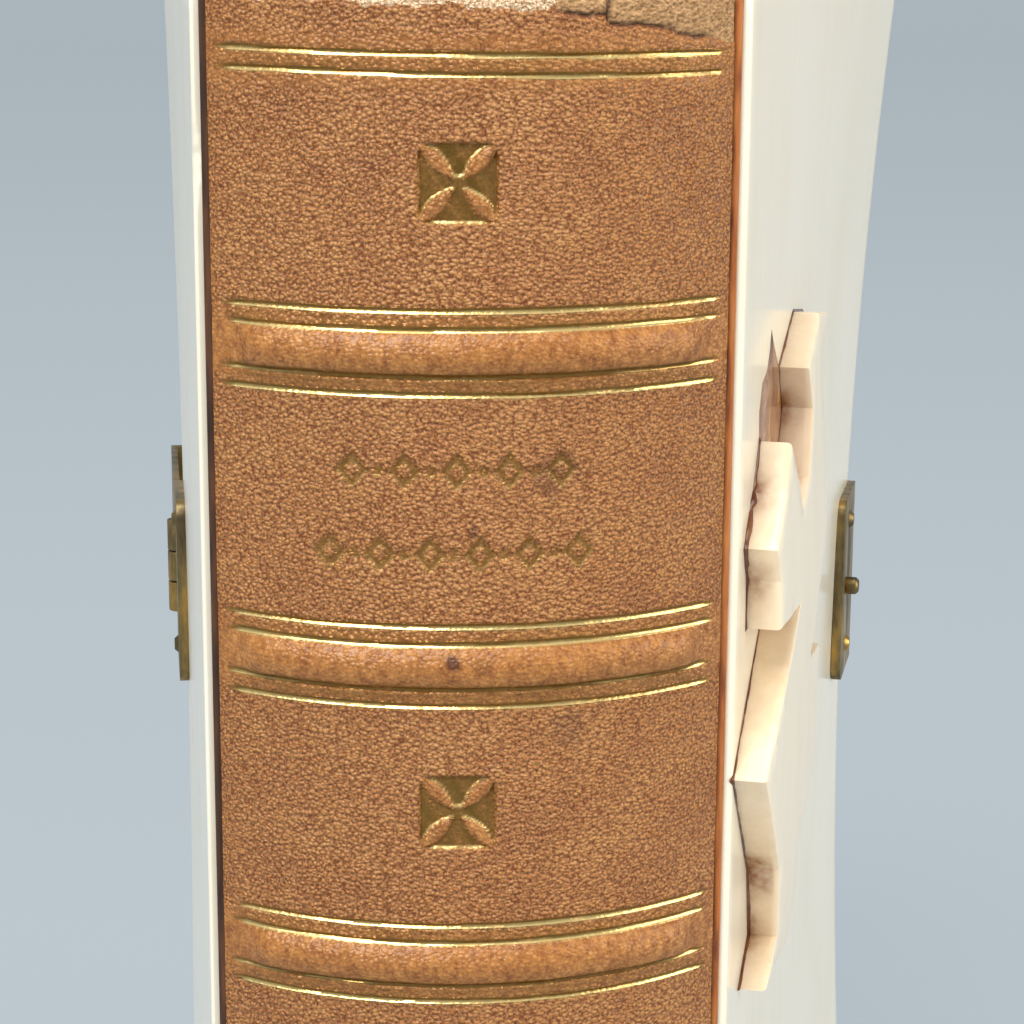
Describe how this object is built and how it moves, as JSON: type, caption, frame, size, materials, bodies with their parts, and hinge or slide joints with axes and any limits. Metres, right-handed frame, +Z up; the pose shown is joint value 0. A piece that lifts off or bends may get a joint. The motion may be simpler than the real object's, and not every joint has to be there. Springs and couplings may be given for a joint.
{
  "type": "small church service book",
  "caption": "Pocket prayer book standing on its tail, with a rounded leather spine with raised bands, ivory-like hinged covers, a carved cross and a hinged brass clasp.",
  "frame": {"origin": "on the table, in the middle of the leather turned in over the tail of the spine", "axes": "+Z up from tail to head, -Y out of the spine, +X towards the front cover"},
  "size_m": [0.0638, 0.1179, 0.1145],
  "materials": {
    "pages": "matt",
    "endpaper": "matt",
    "mull_cloth": "open weave",
    "card": "matt",
    "spine_leather": "fine grain, worn satin, gilt rules",
    "joint_leather": "satin",
    "silk": "satin thread",
    "ivory_plate": "polished",
    "carved_ivory": "satin",
    "tarnished_brass": "tarnished"
  },
  "bodies": {
    "book_block": {"text_block": "pages", "front_endpaper": "endpaper", "back_endpaper": "endpaper", "spine_mull": "mull_cloth", "hollow_back": "card", "band_strips": "card", "spine_leather": "spine_leather", "headband": "silk", "tailband": "silk"},
    "front_cover": {"front_board": "card", "front_plate": "ivory_plate", "front_pastedown": "endpaper", "front_joint_leather": "joint_leather", "cover_ornament": "carved_ivory", "front_clasp_plate": "tarnished_brass", "front_clasp_rivets": "tarnished_brass", "catch_stud": "tarnished_brass"},
    "back_cover": {"back_board": "card", "back_plate": "ivory_plate", "back_pastedown": "endpaper", "back_joint_leather": "joint_leather", "back_clasp_plate": "tarnished_brass", "back_clasp_rivets": "tarnished_brass", "clasp_hinge_pin": "tarnished_brass"},
    "strap": {"clasp_strap": "tarnished_brass"}
  },
  "joints": [
    {"name": "front_cover_joint", "type": "hinge", "parent": "book_block", "child": "front_cover", "pos_m": [0.0156, 0.00415, 0.05725], "axis": [0, 0, -1], "range_deg": [-16.4, 145]},
    {"name": "back_cover_joint", "type": "hinge", "parent": "book_block", "child": "back_cover", "pos_m": [-0.0156, 0.00415, 0.05725], "axis": [0, 0, 1], "range_deg": [-3.5, 176.5]},
    {"name": "clasp_hinge", "type": "hinge", "parent": "back_cover", "child": "strap", "pos_m": [-0.02115, 0.08156, 0.0606], "axis": [0, 0, 1], "range_deg": [-90, 85]}
  ]
}
